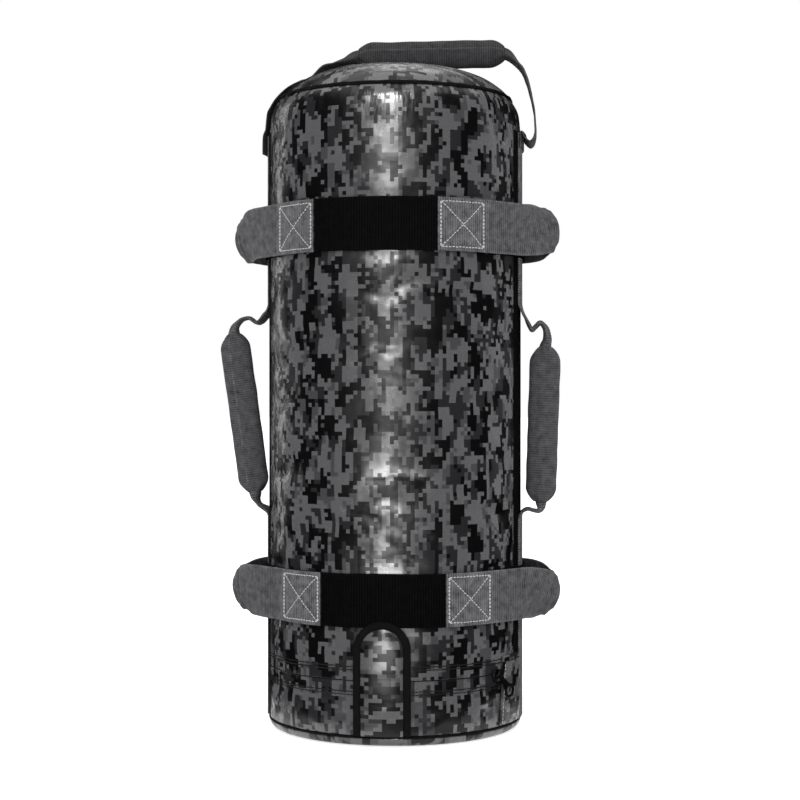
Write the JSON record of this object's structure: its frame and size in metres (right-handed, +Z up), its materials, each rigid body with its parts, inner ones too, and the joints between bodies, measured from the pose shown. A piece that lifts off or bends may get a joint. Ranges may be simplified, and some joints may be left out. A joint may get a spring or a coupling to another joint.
{
  "type": "sandbag trainer",
  "caption": "Cylindrical sand-filled training bag with webbing bands, loop handles, side and top grips, and a zip with a security flap at its base.",
  "frame": {"origin": "middle of the flat base that the bag stands on", "axes": "+Z up along the bag, -Y towards the zip and its flap, +X towards the zip's slider"},
  "size_m": [0.3455, 0.2566, 0.68],
  "materials": {
    "camo_cloth": "glossy coated cloth with a grey and black pixel pattern",
    "seam_binding": "matte black tape",
    "black_webbing": "ribbed black webbing",
    "grey_webbing": "ribbed grey webbing",
    "dark_webbing": "ribbed dark grey webbing",
    "zip_tape": "matte black woven tape",
    "zip_coil": "black nylon coil",
    "zip_metal": "dark coated metal",
    "hook_and_loop": "black hook and loop",
    "liner_foam": "pale wadding",
    "inner_cloth": "plain grey cloth",
    "sand": "dry sand",
    "handle_foam": "grey closed-cell foam"
  },
  "bodies": {
    "root": {"shell_wall": "camo_cloth", "top_panel": "camo_cloth", "base_panel": "camo_cloth", "base_piping": "seam_binding", "top_seam_binding": "seam_binding", "liner_base_pad": "liner_foam", "liner_sleeve": "liner_foam", "liner_top_pad": "liner_foam", "sand_bag_1_skin": "inner_cloth", "sand_bag_1_sand": "sand", "sand_bag_1_tie": "hook_and_loop", "sand_bag_2_skin": "inner_cloth", "sand_bag_2_sand": "sand", "sand_bag_2_tie": "hook_and_loop", "sand_bag_3_skin": "inner_cloth", "sand_bag_3_sand": "sand", "sand_bag_3_tie": "hook_and_loop", "band_upper": "black_webbing", "band_lower": "black_webbing", "loop_end_upper_left_front": "grey_webbing", "loop_end_upper_left_back": "grey_webbing", "loop_end_upper_right_front": "grey_webbing", "loop_end_upper_right_back": "grey_webbing", "loop_end_lower_left_front": "grey_webbing", "loop_end_lower_left_back": "grey_webbing", "loop_end_lower_right_front": "grey_webbing", "loop_end_lower_right_back": "grey_webbing", "side_strap_upper_left": "grey_webbing", "side_strap_upper_right": "grey_webbing", "side_strap_lower_left": "grey_webbing", "side_strap_lower_right": "grey_webbing", "zip_tape_upper": "zip_tape", "zip_tape_lower": "zip_tape", "zip_coil_upper": "zip_coil", "zip_coil_lower": "zip_coil", "zip_stop_left": "zip_metal", "zip_stop_right": "zip_metal", "zip_end_patch": "camo_cloth", "flap_loop_patch": "hook_and_loop"},
    "slider": {"zip_slider": "zip_metal"},
    "pull": {"zip_pull": "zip_metal"},
    "flap": {"flap_panel": "camo_cloth", "flap_binding": "seam_binding", "flap_hook_strip": "hook_and_loop"},
    "side_handle_left": {"side_handle_left_strap": "grey_webbing", "side_handle_left_grip": "grey_webbing", "side_handle_left_core": "handle_foam"},
    "side_handle_right": {"side_handle_right_strap": "grey_webbing", "side_handle_right_grip": "grey_webbing", "side_handle_right_core": "handle_foam"},
    "top_handle": {"top_handle_strap": "dark_webbing", "top_handle_grip": "dark_webbing", "top_handle_core": "handle_foam"},
    "loop_upper_left": {"loop_upper_left": "grey_webbing"},
    "loop_upper_right": {"loop_upper_right": "grey_webbing"},
    "loop_lower_left": {"loop_lower_left": "grey_webbing"},
    "loop_lower_right": {"loop_lower_right": "grey_webbing"}
  },
  "joints": [
    {"name": "zip_slide", "type": "hinge", "parent": "root", "child": "slider", "pos_m": [0, 0, 0.061], "axis": [0, 0, 1], "range_deg": [-36, 0]},
    {"name": "zip_pull_turn", "type": "hinge", "parent": "slider", "child": "pull", "pos_m": [0.1073, -0.07375, 0.061], "axis": [-0.4209, -0.6124, -0.6691], "range_deg": [0, 150]},
    {"name": "flap_open", "type": "hinge", "parent": "root", "child": "flap", "pos_m": [0, -0.1268, 0.01], "axis": [1, 0, 0], "range_deg": [0, 110]},
    {"name": "side_handle_left_swing", "type": "hinge", "parent": "root", "child": "side_handle_left", "pos_m": [-0.129, 0, 0.31075], "axis": [0, 0, 1], "range_deg": [-30, 30]},
    {"name": "side_handle_right_swing", "type": "hinge", "parent": "root", "child": "side_handle_right", "pos_m": [0.129, 0, 0.31075], "axis": [0, 0, 1], "range_deg": [-30, 30]},
    {"name": "top_handle_lift", "type": "slide", "parent": "root", "child": "top_handle", "axis": [0, 0, 1], "range_m": [0, 0.03]},
    {"name": "loop_upper_left_tilt", "type": "hinge", "parent": "root", "child": "loop_upper_left", "pos_m": [-0.13372, 0.00865, 0.486], "axis": [-0.0645, -0.9979, 0], "range_deg": [-30, 10]},
    {"name": "loop_upper_right_tilt", "type": "hinge", "parent": "root", "child": "loop_upper_right", "pos_m": [0.13372, -0.00865, 0.486], "axis": [0.0645, 0.9979, 0], "range_deg": [-11, 29]},
    {"name": "loop_lower_left_tilt", "type": "hinge", "parent": "root", "child": "loop_lower_left", "pos_m": [-0.134, 0, 0.1355], "axis": [0, -1, 0], "range_deg": [-26, 14]},
    {"name": "loop_lower_right_tilt", "type": "hinge", "parent": "root", "child": "loop_lower_right", "pos_m": [0.134, 0, 0.1355], "axis": [0, 1, 0], "range_deg": [-34, 6]}
  ]
}
